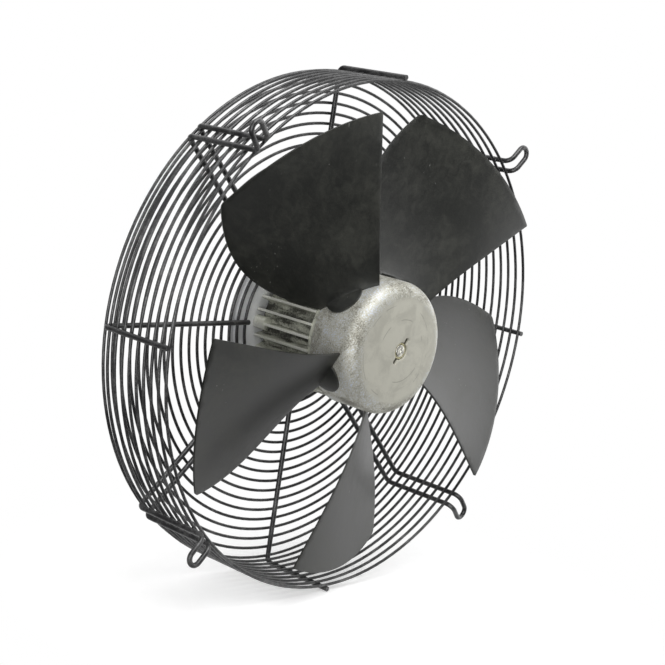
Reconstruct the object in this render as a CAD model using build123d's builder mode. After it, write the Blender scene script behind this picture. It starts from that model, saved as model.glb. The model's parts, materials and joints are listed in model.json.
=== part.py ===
"""Axial fan with an external-rotor motor in a wire guard basket, 450 mm impeller.

The fan axis is Y. The rotor face and the mounting eyelets point to -Y, the front;
the guard's flat disc and the motor's finned housing are at +Y, the rear. +X is to
the right of someone who looks at the rotor face, and +Z is up. The origin is on
the axis, in the plane where the front of the four eyelets meets a wall plate.
Angles run from +X towards +Z. Lengths are in millimetres, angles in degrees.
"""

import os
from math import cos, radians, sin, sqrt

from build123d import *

# Guard: wire sizes and where the wires run
FRAME_WIRE_R = 2.5
RING_WIRE_R = 1.5
WELD_SINK = 0.3
BAR_R = 250.0
REAR_BEND_R = 6.0
SPOKE_Y = 93.5
SPOKE_START_R = 74.0
BAR_FRONT_Y = 8.0
WALL_RING_COUNT = 9
WALL_FRONT_Y = 10.5
WALL_REAR_Y = 89.5
DISC_RING_COUNT = 18
DISC_RING_FIRST_R = 75.0
DISC_RING_PITCH = 10.0

# Mounting eyelets: each arm is one wire that runs out, bends forward and closes in a U
EYE_WIRE_Y = FRAME_WIRE_R
EYE_HALF_GAP = 7.0
EYE_BEND_R = 8.0
EYE_TIP_R = 276.0

SPOKES = {"spoke_right": 0, "spoke_top": 90, "spoke_left": 180, "spoke_bottom": 270}
ARMS = {
    "arm_upper_right": 45,
    "arm_upper_left": 135,
    "arm_lower_left": 225,
    "arm_lower_right": 315,
}

# Motor plate behind the guard's centre
PLATE_R = 86.5
PLATE_T = 2.0
PLATE_FRONT_Y = 98.5
PLATE_RIM = 10.0
PLATE_BEND_R = 4.0
PLATE_HOLE_R = 30.0

# Rotor cup
ROTOR_R = 64.0
ROTOR_WALL = 6.5
ROTOR_REAR_Y = 19.0
ROTOR_FACE_Y = -35.0
ROTOR_DOME = 2.0
ROTOR_FILLET = 15.0
ROTOR_FLOOR_Y = -29.0
ROTOR_BOSS_R = 17.0
ROTOR_BOSS_Y = -25.0

# Hub bush with two wings, pressed into the rotor's centre
BUSH_R = 8.5
BUSH_WING_R = 14.5
BUSH_WING_W = 5.0
BUSH_WING_ANGLE = 58.0
BUSH_FRONT_Y = -35.4
WING_FRONT_Y = -34.6
WING_REAR_Y = -31.0

# Shaft and bearings, 12 x 32 x 10 deep-groove
SHAFT_R = 6.0
SHAFT_FRONT_Y = -36.2
SHAFT_REAR_Y = 56.0
BEARING_R = 16.0
BEARING_W = 10.0
RACE_T = 2.9
BALL_R = 3.0
BALL_COUNT = 7
BALL_PITCH_R = 11.0
GROOVE_GAP = 0.08
CAGE_T = 1.6
FRONT_BEARING_Y = -13.0
REAR_BEARING_Y = 47.0
TUBE_R = 21.0
TUBE_BORE_R = 12.5
TUBE_FRONT_Y = -20.0
TUBE_REAR_Y = 58.0

# Stator stack and magnets
STACK_R = 49.3
STACK_FRONT_Y = -16.0
STACK_REAR_Y = 14.0
TOOTH_COUNT = 12
TOOTH_W = 8.0
YOKE_R = 29.0
SHOE_R = 45.5
SLOT_OPENING = 3.5
INSULATOR_T = 1.0
COIL_MID_R = 37.5
COIL_RADIAL = 14.0
COIL_WIDTH = 14.4
COIL_HEAD = 5.0
MAGNET_R = 50.1
MAGNET_T = 3.9
MAGNET_COUNT = 8
MAGNET_GAP = 2.0
FLUX_RING_T = 3.4

# Finned housing
HOUSING_R = 52.0
HOUSING_WALL = 4.0
HOUSING_FRONT_Y = 22.5
HOUSING_REAR_Y = 95.5
SHIELD_R = 60.5
SHIELD_T = 3.5
BULKHEAD_T = 8.0
FIN_COUNT = 30
FIN_R = 62.0
FIN_T = 2.4
FIN_REAR_Y = 97.5
BOSS_R = 6.5
BOSS_CIRCLE_R = 57.0
PLATE_SCREW_R = 2.5
PLATE_SCREW_DEPTH = 10.0
SCREW_HEAD_R = 4.8
SCREW_HEAD_H = 3.2
BOSS_COUNT = 4
BOSS_LENGTH = 14.0

# Posts inside the housing, for the board and for the rear cover
BOARD_POST_CIRCLE_R = 40.0
BOARD_POST_R = 4.0
COVER_POST_R = 3.5
PILOT_R = 1.25
SMALL_SCREW_R = 1.2
SMALL_HOLE_R = 1.6
SMALL_HEAD_R = 2.6

# Electronics behind the bulkhead
BOARD_R = 46.0
BOARD_T = 1.6
BOARD_Y = 72.0
CAPACITOR_R = 8.0
CAPACITOR_H = 27.0
CAPACITOR_CIRCLE_R = 32.0
CHOKE_PLACE = (-20, 14)
CHOKE_R = 10.0
CHOKE_H = 9.0
MODULE_PLACE = (20, 14)
MODULE_SIZE = (30, 20, 6)
TERMINAL_PLACE = (0, -22)
TERMINAL_SIZE = (42, 12, 12)
TERMINAL_COUNT = 5
TERMINAL_PITCH = 8.0
LEAD_R = 1.0
LEAD_CIRCLE_R = 25.5
LEAD_BUSH_R = 2.2

# Rear cover and cable gland
COVER_R = 50.0
COVER_T = 2.2
GASKET_T = 0.6
GASKET_W = 8.0
GLAND_THREAD_R = 10.0
GLAND_BORE_R = 8.0
GLAND_HEX_R = 13.8
GLAND_HEX_H = 5.0
GLAND_SPIGOT = 9.0
LOCKNUT_R = 14.5
LOCKNUT_H = 4.0
NUT_R = 13.0
NUT_MOUTH_R = 9.5
NUT_GRIP = 8.0
CABLE_R = 4.5

# Blades: pressed sheet, one station per radius:
# (radius, front edge angle, front edge y, rear edge angle, rear edge y)
BLADE_COUNT = 5
BLADE_T = 2.0
BLADE_CAMBER = 0.042
BLADE_STATIONS = [
    (57.0, 112.0, -17.5, 150.5, 13.0),
    (80.0, 111.1, -19.5, 156.8, 30.5),
    (112.0, 109.5, -20.8, 158.6, 40.5),
    (150.0, 107.3, -20.9, 157.3, 44.0),
    (190.0, 105.5, -19.6, 153.0, 40.0),
    (224.3, 104.4, -18.2, 147.7, 31.5),
]
BLADE_CHORD_POINTS = 7
TIP_REAR_ROUND = 7.0
TIP_FRONT_ROUND = 1.2
FOOT_ANGLE = 136.6
FOOT_Y = 2.9
FOOT_HALF_LENGTH = 18.0
FOOT_HEIGHT = 17.5
FOOT_T = 2.0
FOOT_TILT = 40.0

os.makedirs("parts", exist_ok=True)


def save(builder, name):
    builder.part.label = name
    export_step(builder.part, f"parts/{name}.step")


def across(y):
    """Plane across the axis at y: its x is +X, its y is +Z, its normal is -Y."""
    return Plane.XZ.offset(-y)


def along(angle):
    """Plane through the axis: its x runs outwards at the angle, its y is +Y."""
    a = radians(angle)
    return Plane(origin=(0, 0, 0), x_dir=(cos(a), 0, sin(a)), z_dir=(-sin(a), 0, cos(a)))


def turn(*outline, mode=Mode.ADD):
    """Turn a closed outline of (radius, y) points about the fan axis."""
    with BuildSketch(Plane.XY) as profile:
        with BuildLine():
            Polyline(*outline, close=True)
        make_face()
    revolve(profile.sketch, axis=Axis.Y, mode=mode)


def turn_ring(inner, outer, front, rear, mode=Mode.ADD):
    """Turn a plain ring, or a disc where inner is 0."""
    turn((inner, front), (outer, front), (outer, rear), (inner, rear), mode=mode)


def rods(radius, front, rear, *places, mode=Mode.ADD):
    """Round rods along the axis direction at (x, z) places."""
    with BuildSketch(across(rear)) as profile:
        with Locations(*places):
            Circle(radius)
    extrude(profile.sketch, amount=rear - front, mode=mode)


def circle_places(radius, count, start=0.0):
    """(x, z) places spread evenly on a circle."""
    turns = [radians(start + 360 * i / count) for i in range(count)]
    return [(radius * cos(a), radius * sin(a)) for a in turns]


def wire_along(path, radius=FRAME_WIRE_R):
    """Sweep round wire along a path, from its first point."""
    with BuildSketch(Plane(origin=path @ 0, z_dir=path % 0)) as section:
        Circle(radius)
    sweep(section.sketch, path=path)


# ---------------------------------------------------------------- guard

with BuildPart() as guard_wall_rings:
    wall_ring_r = BAR_R - FRAME_WIRE_R - RING_WIRE_R + WELD_SINK
    wall_pitch = (WALL_REAR_Y - WALL_FRONT_Y) / (WALL_RING_COUNT - 1)
    for i in range(WALL_RING_COUNT):
        with BuildSketch(Plane.XY):
            with Locations((wall_ring_r, WALL_FRONT_Y + i * wall_pitch)):
                Circle(RING_WIRE_R)
        revolve(axis=Axis.Y)
save(guard_wall_rings, "guard_wall_rings")

with BuildPart() as guard_disc_rings:
    disc_ring_y = SPOKE_Y + FRAME_WIRE_R + RING_WIRE_R - WELD_SINK
    for i in range(DISC_RING_COUNT):
        with BuildSketch(Plane.XY):
            with Locations((DISC_RING_FIRST_R + i * DISC_RING_PITCH, disc_ring_y)):
                Circle(RING_WIRE_R)
        revolve(axis=Axis.Y)
save(guard_disc_rings, "guard_disc_rings")

for name, angle in SPOKES.items():
    with BuildPart() as spoke:
        with BuildLine(along(angle)) as spoke_line:
            FilletPolyline(
                (SPOKE_START_R, SPOKE_Y),
                (BAR_R, SPOKE_Y),
                (BAR_R, BAR_FRONT_Y),
                radius=REAR_BEND_R,
            )
        wire_along(spoke_line.wires()[0])
    save(spoke, name)

for name, angle in ARMS.items():
    with BuildPart() as arm:
        with BuildLine(along(angle)) as arm_line:
            eye_arc_r = EYE_TIP_R - EYE_HALF_GAP
            for side in (-EYE_HALF_GAP, EYE_HALF_GAP):
                FilletPolyline(
                    (SPOKE_START_R, SPOKE_Y, side),
                    (BAR_R, SPOKE_Y, side),
                    (BAR_R, EYE_WIRE_Y, side),
                    (eye_arc_r, EYE_WIRE_Y, side),
                    radius=[REAR_BEND_R, EYE_BEND_R],
                )
            ThreePointArc(
                (eye_arc_r, EYE_WIRE_Y, -EYE_HALF_GAP),
                (EYE_TIP_R, EYE_WIRE_Y, 0),
                (eye_arc_r, EYE_WIRE_Y, EYE_HALF_GAP),
            )
        wire_along(arm_line.wires()[0])
    save(arm, name)

with BuildPart() as motor_plate:
    plate_rear_y = PLATE_FRONT_Y + PLATE_T
    rim_y = PLATE_FRONT_Y + PLATE_RIM
    with BuildSketch(Plane.XY) as plate_profile:
        with BuildLine():
            Polyline(
                (PLATE_HOLE_R, PLATE_FRONT_Y),
                (PLATE_R, PLATE_FRONT_Y),
                (PLATE_R, rim_y),
                (PLATE_R - PLATE_T, rim_y),
                (PLATE_R - PLATE_T, plate_rear_y),
                (PLATE_HOLE_R, plate_rear_y),
                close=True,
            )
        make_face()
        outer_corner = plate_profile.vertices().filter_by_position(
            Axis.X, PLATE_R - 0.1, PLATE_R + 0.1
        ).sort_by(Axis.Y)[0]
        fillet(outer_corner, PLATE_BEND_R)
        inner_corner = plate_profile.vertices().filter_by_position(
            Axis.X, PLATE_R - PLATE_T - 0.1, PLATE_R - PLATE_T + 0.1
        ).sort_by(Axis.Y)[0]
        fillet(inner_corner, PLATE_BEND_R - PLATE_T)
    revolve(axis=Axis.Y)
    rods(
        PLATE_SCREW_R + 0.3,
        PLATE_FRONT_Y - 1,
        plate_rear_y + 1,
        *circle_places(BOSS_CIRCLE_R, BOSS_COUNT),
        mode=Mode.SUBTRACT,
    )
save(motor_plate, "motor_plate")

with BuildPart() as plate_screws:
    screw_places = circle_places(BOSS_CIRCLE_R, BOSS_COUNT)
    head_rear_y = plate_rear_y + SCREW_HEAD_H
    rods(PLATE_SCREW_R - 0.05, PLATE_FRONT_Y - PLATE_SCREW_DEPTH, plate_rear_y, *screw_places)
    rods(SCREW_HEAD_R, plate_rear_y, head_rear_y, *screw_places)
    head_edges = edges().filter_by_position(Axis.Y, head_rear_y - 0.1, head_rear_y + 0.1)
    chamfer(head_edges, 0.9)
    with BuildSketch(across(head_rear_y)) as drive_sockets:
        with Locations(*screw_places):
            RegularPolygon(2.0, 6)
    extrude(drive_sockets.sketch, amount=2.0, mode=Mode.SUBTRACT)
save(plate_screws, "plate_screws")

# ---------------------------------------------------------------- housing

with BuildPart() as motor_housing:
    bulkhead_rear_y = HOUSING_FRONT_Y + BULKHEAD_T
    inner_r = HOUSING_R - HOUSING_WALL
    turn(
        (TUBE_R, HOUSING_FRONT_Y),
        (SHIELD_R, HOUSING_FRONT_Y),
        (SHIELD_R, HOUSING_FRONT_Y + SHIELD_T),
        (HOUSING_R, HOUSING_FRONT_Y + SHIELD_T),
        (HOUSING_R, HOUSING_REAR_Y),
        (inner_r, HOUSING_REAR_Y),
        (inner_r, bulkhead_rear_y),
        (TUBE_R, bulkhead_rear_y),
    )
    with BuildSketch(across(FIN_REAR_Y)) as fin_section:
        fin_root_r = HOUSING_R - 1
        with PolarLocations((fin_root_r + FIN_R) / 2, FIN_COUNT):
            Rectangle(FIN_R - fin_root_r, FIN_T)
    extrude(fin_section.sketch, amount=FIN_REAR_Y - HOUSING_FRONT_Y - SHIELD_T + 0.5)
    rods(
        BOSS_R,
        PLATE_FRONT_Y - BOSS_LENGTH,
        PLATE_FRONT_Y,
        *circle_places(BOSS_CIRCLE_R, BOSS_COUNT),
    )
    turn_ring(0, inner_r, bulkhead_rear_y, PLATE_FRONT_Y + 1, mode=Mode.SUBTRACT)
    rods(
        PLATE_SCREW_R,
        PLATE_FRONT_Y - PLATE_SCREW_DEPTH - 2,
        PLATE_FRONT_Y,
        *circle_places(BOSS_CIRCLE_R, BOSS_COUNT),
        mode=Mode.SUBTRACT,
    )
    board_posts = circle_places(BOARD_POST_CIRCLE_R, 3, 90)
    rods(BOARD_POST_R, bulkhead_rear_y - 0.5, BOARD_Y, *board_posts)
    rods(PILOT_R, BOARD_Y - 10, BOARD_Y, *board_posts, mode=Mode.SUBTRACT)
    cover_posts = circle_places(inner_r - 2.5, 4, 45)
    rods(COVER_POST_R, HOUSING_REAR_Y - 16, HOUSING_REAR_Y, *cover_posts)
    rods(PILOT_R, HOUSING_REAR_Y - 10, HOUSING_REAR_Y, *cover_posts, mode=Mode.SUBTRACT)
    rods(
        LEAD_BUSH_R,
        HOUSING_FRONT_Y - 1,
        bulkhead_rear_y + 1,
        *circle_places(LEAD_CIRCLE_R, 3, 90),
        mode=Mode.SUBTRACT,
    )
save(motor_housing, "motor_housing")

with BuildPart() as cover_gasket:
    gasket_rear_y = HOUSING_REAR_Y + GASKET_T
    turn_ring(COVER_R - GASKET_W, COVER_R, HOUSING_REAR_Y, gasket_rear_y)
    rods(SMALL_HOLE_R, HOUSING_REAR_Y - 1, gasket_rear_y + 1, *cover_posts, mode=Mode.SUBTRACT)
save(cover_gasket, "cover_gasket")

with BuildPart() as rear_cover:
    cover_rear_y = gasket_rear_y + COVER_T
    screw_seat_y = cover_rear_y - 1.3
    turn_ring(GLAND_THREAD_R + 0.1, COVER_R, gasket_rear_y, cover_rear_y)
    rods(SMALL_HOLE_R, gasket_rear_y - 1, cover_rear_y + 1, *cover_posts, mode=Mode.SUBTRACT)
    rods(SMALL_HEAD_R + 0.2, screw_seat_y, cover_rear_y + 1, *cover_posts, mode=Mode.SUBTRACT)
save(rear_cover, "rear_cover")

with BuildPart() as cover_screws:
    rods(SMALL_SCREW_R, HOUSING_REAR_Y - 8, screw_seat_y, *cover_posts)
    rods(SMALL_HEAD_R, screw_seat_y, cover_rear_y - 0.1, *cover_posts)
save(cover_screws, "cover_screws")

# ---------------------------------------------------------------- cable gland

with BuildPart() as gland_body:
    hex_front_y = cover_rear_y
    hex_rear_y = hex_front_y + GLAND_HEX_H
    spigot_rear_y = hex_rear_y + GLAND_SPIGOT
    turn_ring(GLAND_BORE_R, GLAND_THREAD_R, HOUSING_REAR_Y - 7, spigot_rear_y)
    with BuildSketch(across(hex_rear_y)) as gland_hex:
        RegularPolygon(GLAND_HEX_R, 6)
        Circle(GLAND_BORE_R, mode=Mode.SUBTRACT)
    extrude(gland_hex.sketch, amount=hex_rear_y - hex_front_y)
save(gland_body, "gland_body")

with BuildPart() as gland_locknut:
    with BuildSketch(across(gasket_rear_y - 0.1)) as locknut_hex:
        RegularPolygon(LOCKNUT_R, 6)
        Circle(GLAND_THREAD_R + 0.05, mode=Mode.SUBTRACT)
    extrude(locknut_hex.sketch, amount=LOCKNUT_H)
save(gland_locknut, "gland_locknut")

with BuildPart() as gland_seal:
    seal_front_y = hex_rear_y - 2
    seal_rear_y = spigot_rear_y + 1
    turn_ring(CABLE_R, GLAND_BORE_R - 0.05, seal_front_y, seal_rear_y)
save(gland_seal, "gland_seal")

with BuildPart() as gland_nut:
    nut_front_y = hex_rear_y + 0.8
    nut_rear_y = spigot_rear_y + 5
    turn(
        (GLAND_THREAD_R + 0.05, nut_front_y),
        (NUT_R, nut_front_y),
        (NUT_R, nut_front_y + NUT_GRIP),
        (NUT_MOUTH_R, nut_rear_y),
        (CABLE_R + 1.0, nut_rear_y),
        (CABLE_R + 1.0, seal_rear_y + 0.3),
        (GLAND_THREAD_R + 0.05, seal_rear_y + 0.3),
    )
    with BuildSketch(across(nut_front_y + NUT_GRIP)) as nut_flats:
        Circle(NUT_R + 1)
        RegularPolygon(NUT_R + 0.6, 6, mode=Mode.SUBTRACT)
    extrude(nut_flats.sketch, amount=NUT_GRIP, mode=Mode.SUBTRACT)
save(gland_nut, "gland_nut")

# ---------------------------------------------------------------- electronics

with BuildPart() as circuit_board:
    turn_ring(0, BOARD_R, BOARD_Y, BOARD_Y + BOARD_T)
    rods(SMALL_HOLE_R, BOARD_Y - 1, BOARD_Y + BOARD_T + 1, *board_posts, mode=Mode.SUBTRACT)
save(circuit_board, "circuit_board")

with BuildPart() as board_screws:
    board_rear_y = BOARD_Y + BOARD_T
    rods(SMALL_SCREW_R, BOARD_Y - 8, board_rear_y, *board_posts)
    rods(SMALL_HEAD_R, board_rear_y, board_rear_y + 2, *board_posts)
save(board_screws, "board_screws")

with BuildPart() as capacitors:
    rods(CAPACITOR_R, BOARD_Y - CAPACITOR_H, BOARD_Y, *circle_places(CAPACITOR_CIRCLE_R, 2))
save(capacitors, "capacitors")

with BuildPart() as mains_choke:
    choke_rear_y = board_rear_y + CHOKE_H
    with BuildSketch(across(choke_rear_y)) as choke_section:
        with Locations(CHOKE_PLACE):
            Circle(CHOKE_R)
            Circle(CHOKE_R - 5.5, mode=Mode.SUBTRACT)
    extrude(choke_section.sketch, amount=CHOKE_H)
    fillet(edges().filter_by_position(Axis.Y, choke_rear_y - 0.1, choke_rear_y + 0.1), 1.5)
save(mains_choke, "mains_choke")

with BuildPart() as power_module:
    module_w, module_h, module_d = MODULE_SIZE
    with BuildSketch(across(board_rear_y + module_d)) as module_section:
        with Locations(MODULE_PLACE):
            Rectangle(module_w, module_h)
    extrude(module_section.sketch, amount=module_d)
save(power_module, "power_module")

with BuildPart() as terminal_block:
    block_w, block_h, block_d = TERMINAL_SIZE
    block_x, block_z = TERMINAL_PLACE
    with BuildSketch(across(board_rear_y + block_d)) as block_section:
        with Locations(TERMINAL_PLACE):
            Rectangle(block_w, block_h)
    extrude(block_section.sketch, amount=block_d)
    entries = [
        (block_x + (i - (TERMINAL_COUNT - 1) / 2) * TERMINAL_PITCH, block_z - 2)
        for i in range(TERMINAL_COUNT)
    ]
    rods(2.2, board_rear_y + 4, board_rear_y + block_d, *entries, mode=Mode.SUBTRACT)
save(terminal_block, "terminal_block")

with BuildPart() as motor_leads:
    lead_front_y = STACK_REAR_Y + INSULATOR_T + COIL_HEAD + 0.1
    rods(LEAD_R, lead_front_y - 2, BOARD_Y, *circle_places(LEAD_CIRCLE_R, 3, 90))
save(motor_leads, "motor_leads")

# ---------------------------------------------------------------- stator


def lamination(y, depth, inner):
    """Stator outline: yoke, teeth and shoes, with open slots between them."""
    pitch = 360 / TOOTH_COUNT
    with BuildSketch(across(y)) as outline:
        Circle(STACK_R)
        Circle(SHOE_R, mode=Mode.SUBTRACT)
        with PolarLocations(STACK_R, TOOTH_COUNT, start_angle=pitch / 2):
            Rectangle(3 * (STACK_R - SHOE_R), SLOT_OPENING, mode=Mode.SUBTRACT)
        with PolarLocations((YOKE_R + SHOE_R) / 2, TOOTH_COUNT):
            Rectangle(SHOE_R - YOKE_R + 4, TOOTH_W)
        Circle(YOKE_R)
        Circle(inner, mode=Mode.SUBTRACT)
    extrude(outline.sketch, amount=depth)


with BuildPart() as stator_stack:
    lamination(STACK_REAR_Y, STACK_REAR_Y - STACK_FRONT_Y, TUBE_R)
save(stator_stack, "stator_stack")

for name, y in (
    ("insulator_front", STACK_FRONT_Y),
    ("insulator_rear", STACK_REAR_Y + INSULATOR_T),
):
    with BuildPart() as insulator:
        lamination(y, INSULATOR_T, TUBE_R)
    save(insulator, name)

with BuildPart() as windings:
    stack_length = STACK_REAR_Y - STACK_FRONT_Y
    coil_inner = stack_length + 2 * INSULATOR_T
    with Locations(across((STACK_FRONT_Y + STACK_REAR_Y) / 2)):
        with PolarLocations(COIL_MID_R, TOOTH_COUNT):
            Box(COIL_RADIAL, COIL_WIDTH, coil_inner + 2 * COIL_HEAD)
    with Locations(across((STACK_FRONT_Y + STACK_REAR_Y) / 2)):
        with PolarLocations(COIL_MID_R, TOOTH_COUNT):
            Box(COIL_RADIAL + 1, TOOTH_W + 0.4, coil_inner, mode=Mode.SUBTRACT)
save(windings, "windings")

with BuildPart() as bearing_tube:
    front_seat_y = FRONT_BEARING_Y + BEARING_W / 2
    rear_seat_y = REAR_BEARING_Y - BEARING_W / 2
    spring_seat_y = rear_seat_y - 2.5
    turn(
        (BEARING_R, TUBE_FRONT_Y),
        (TUBE_R, TUBE_FRONT_Y),
        (TUBE_R, TUBE_REAR_Y),
        (BEARING_R, TUBE_REAR_Y),
        (BEARING_R, spring_seat_y),
        (TUBE_BORE_R, spring_seat_y),
        (TUBE_BORE_R, front_seat_y),
        (BEARING_R, front_seat_y),
    )
save(bearing_tube, "bearing_tube")

# ---------------------------------------------------------------- bearings


def outer_race(y):
    """Outer race, centred at y, with its ball groove."""
    turn_ring(BEARING_R - RACE_T, BEARING_R, y - BEARING_W / 2, y + BEARING_W / 2)
    with BuildSketch(Plane.XY) as groove:
        with Locations((BALL_PITCH_R, y)):
            Circle(BALL_R + GROOVE_GAP)
    revolve(groove.sketch, axis=Axis.Y, mode=Mode.SUBTRACT)


def inner_race(y):
    """Inner race, centred at y, with its ball groove."""
    turn_ring(SHAFT_R, SHAFT_R + RACE_T, y - BEARING_W / 2, y + BEARING_W / 2)
    with BuildSketch(Plane.XY) as groove:
        with Locations((BALL_PITCH_R, y)):
            Circle(BALL_R + GROOVE_GAP)
    revolve(groove.sketch, axis=Axis.Y, mode=Mode.SUBTRACT)


for end, y in (("front", FRONT_BEARING_Y), ("rear", REAR_BEARING_Y)):
    with BuildPart() as outer:
        outer_race(y)
    save(outer, f"{end}_bearing_outer_race")
    with BuildPart() as inner:
        inner_race(y)
    save(inner, f"{end}_bearing_inner_race")
    with BuildPart() as balls:
        with Locations(*[(x, y, z) for x, z in circle_places(BALL_PITCH_R, BALL_COUNT)]):
            Sphere(BALL_R)
    save(balls, f"{end}_bearing_balls")
    with BuildPart() as cage:
        turn_ring(BALL_PITCH_R - CAGE_T / 2, BALL_PITCH_R + CAGE_T / 2, y - 3.8, y + 3.8)
        with Locations(across(y)):
            with PolarLocations(BALL_PITCH_R, BALL_COUNT):
                Cylinder(BALL_R + GROOVE_GAP, 3 * CAGE_T, rotation=(0, 90, 0), mode=Mode.SUBTRACT)
    save(cage, f"{end}_bearing_cage")

with BuildPart() as preload_spring:
    spring_y = (spring_seat_y + rear_seat_y) / 2
    turn_ring(13.6, 15.6, spring_y - 1.2, spring_y + 1.2)
save(preload_spring, "preload_spring")

# ---------------------------------------------------------------- rotor

with BuildPart() as shaft:
    circlip_y = REAR_BEARING_Y + BEARING_W / 2 + 0.1
    turn_ring(0, SHAFT_R, SHAFT_FRONT_Y, SHAFT_REAR_Y)
    turn_ring(SHAFT_R - 0.5, SHAFT_R + 1, circlip_y, circlip_y + 1.1, mode=Mode.SUBTRACT)
    chamfer(edges().filter_by(GeomType.CIRCLE).sort_by(Axis.Y)[0], 0.6)
    chamfer(edges().filter_by(GeomType.CIRCLE).sort_by(Axis.Y)[-1], 0.6)
    with BuildSketch(Plane.XY) as centre_hole:
        with BuildLine():
            Polyline((0, SHAFT_FRONT_Y), (1.6, SHAFT_FRONT_Y), (0, SHAFT_FRONT_Y + 2.2), close=True)
        make_face()
    revolve(centre_hole.sketch, axis=Axis.Y, mode=Mode.SUBTRACT)
save(shaft, "shaft")

with BuildPart() as circlip:
    with BuildSketch(across(circlip_y + 1.05)):
        Circle(8.6)
        Circle(SHAFT_R - 0.45, mode=Mode.SUBTRACT)
        with Locations((0, -7)):
            Rectangle(4, 8, mode=Mode.SUBTRACT)
    extrude(amount=1.0)
save(circlip, "circlip")

with BuildPart() as rotor_cup:
    rim_start = ROTOR_R - ROTOR_WALL
    with BuildSketch(Plane.XY):
        with BuildLine():
            side = Line((ROTOR_R, ROTOR_REAR_Y), (ROTOR_R, ROTOR_FACE_Y + ROTOR_FILLET))
            edge_arc = TangentArc(
                side @ 1, (ROTOR_R - ROTOR_FILLET, ROTOR_FACE_Y), tangent=side % 1
            )
            face_line = ThreePointArc(
                edge_arc @ 1,
                ((ROTOR_R - ROTOR_FILLET) / 2, ROTOR_FACE_Y - 0.8 * ROTOR_DOME),
                (0, ROTOR_FACE_Y - ROTOR_DOME),
            )
            Polyline(
                face_line @ 1,
                (0, ROTOR_BOSS_Y),
                (ROTOR_BOSS_R, ROTOR_BOSS_Y),
                (ROTOR_BOSS_R, ROTOR_FLOOR_Y),
                (rim_start - 8, ROTOR_FLOOR_Y),
                (rim_start, ROTOR_FLOOR_Y + 8),
                (rim_start, ROTOR_REAR_Y),
                side @ 0,
            )
        make_face()
    revolve(axis=Axis.Y)
    rods(BUSH_R, ROTOR_FACE_Y - 5, ROTOR_BOSS_Y + 1, (0, 0), mode=Mode.SUBTRACT)
    with BuildSketch(across(WING_REAR_Y)):
        SlotOverall(2 * BUSH_WING_R, BUSH_WING_W, rotation=BUSH_WING_ANGLE)
    extrude(amount=10, mode=Mode.SUBTRACT)
save(rotor_cup, "rotor_cup")

with BuildPart() as hub_bush:
    turn_ring(SHAFT_R, BUSH_R, BUSH_FRONT_Y, ROTOR_BOSS_Y)
    with BuildSketch(across(WING_REAR_Y)):
        SlotOverall(2 * BUSH_WING_R - 0.2, BUSH_WING_W - 0.2, rotation=BUSH_WING_ANGLE)
        Circle(SHAFT_R, mode=Mode.SUBTRACT)
    extrude(amount=WING_REAR_Y - WING_FRONT_Y)
    chamfer(edges().filter_by_position(Axis.Y, BUSH_FRONT_Y - 0.1, BUSH_FRONT_Y + 0.1), 0.5)
save(hub_bush, "hub_bush")

with BuildPart() as flux_ring:
    flux_rear_y = ROTOR_REAR_Y - 2
    flux_front_y = STACK_FRONT_Y - 2.5
    turn_ring(rim_start - FLUX_RING_T, rim_start, flux_front_y, flux_rear_y)
save(flux_ring, "flux_ring")

with BuildPart() as rotor_magnets:
    with BuildSketch(across(flux_rear_y - 1)):
        Circle(MAGNET_R + MAGNET_T)
        Circle(MAGNET_R, mode=Mode.SUBTRACT)
        with PolarLocations(MAGNET_R + MAGNET_T / 2, MAGNET_COUNT):
            Rectangle(2 * MAGNET_T, MAGNET_GAP, mode=Mode.SUBTRACT)
    extrude(amount=flux_rear_y - 1 - flux_front_y - 1)
save(rotor_magnets, "rotor_magnets")

with BuildPart() as dust_seal:
    turn_ring(SHAFT_R, 10.5, ROTOR_BOSS_Y + 0.1, TUBE_FRONT_Y - 0.6)
save(dust_seal, "dust_seal")

# ---------------------------------------------------------------- blades


def on_cylinder(radius, angle, y):
    return (radius * cos(radians(angle)), y, radius * sin(radians(angle)))


def station_points(radius, front_angle, front_y, rear_angle, rear_y):
    """Points along one chord, bowed towards the front by the camber."""
    arc = radius * radians(rear_angle - front_angle)
    bow = BLADE_CAMBER * sqrt(arc**2 + (rear_y - front_y) ** 2)
    points = []
    for i in range(BLADE_CHORD_POINTS):
        t = i / (BLADE_CHORD_POINTS - 1)
        angle = front_angle + t * (rear_angle - front_angle)
        y = front_y + t * (rear_y - front_y) - 4 * bow * t * (1 - t)
        points.append(on_cylinder(radius, angle, y))
    return points


with BuildPart() as blade_sheet:
    sheet = Face.make_surface_from_array_of_points(
        [[Vector(*p) for p in station_points(*station)] for station in BLADE_STATIONS]
    )
    thicken(sheet, amount=BLADE_T / 2, both=True)
    tip_edges = blade_sheet.edges().filter_by(lambda e: e.length < 1.5 * BLADE_T)
    tip_edges = tip_edges.filter_by(lambda e: e.center().length > 150)
    fillet(tip_edges.sort_by(Axis.Y)[-1], TIP_REAR_ROUND)
    tip_edges = blade_sheet.edges().filter_by(lambda e: e.length < 1.5 * BLADE_T)
    tip_edges = tip_edges.filter_by(lambda e: e.center().length > 150)
    fillet(tip_edges.sort_by(Axis.Y)[0], TIP_FRONT_ROUND)
    turn_ring(0, ROTOR_R, -60, 60, mode=Mode.SUBTRACT)

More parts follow.
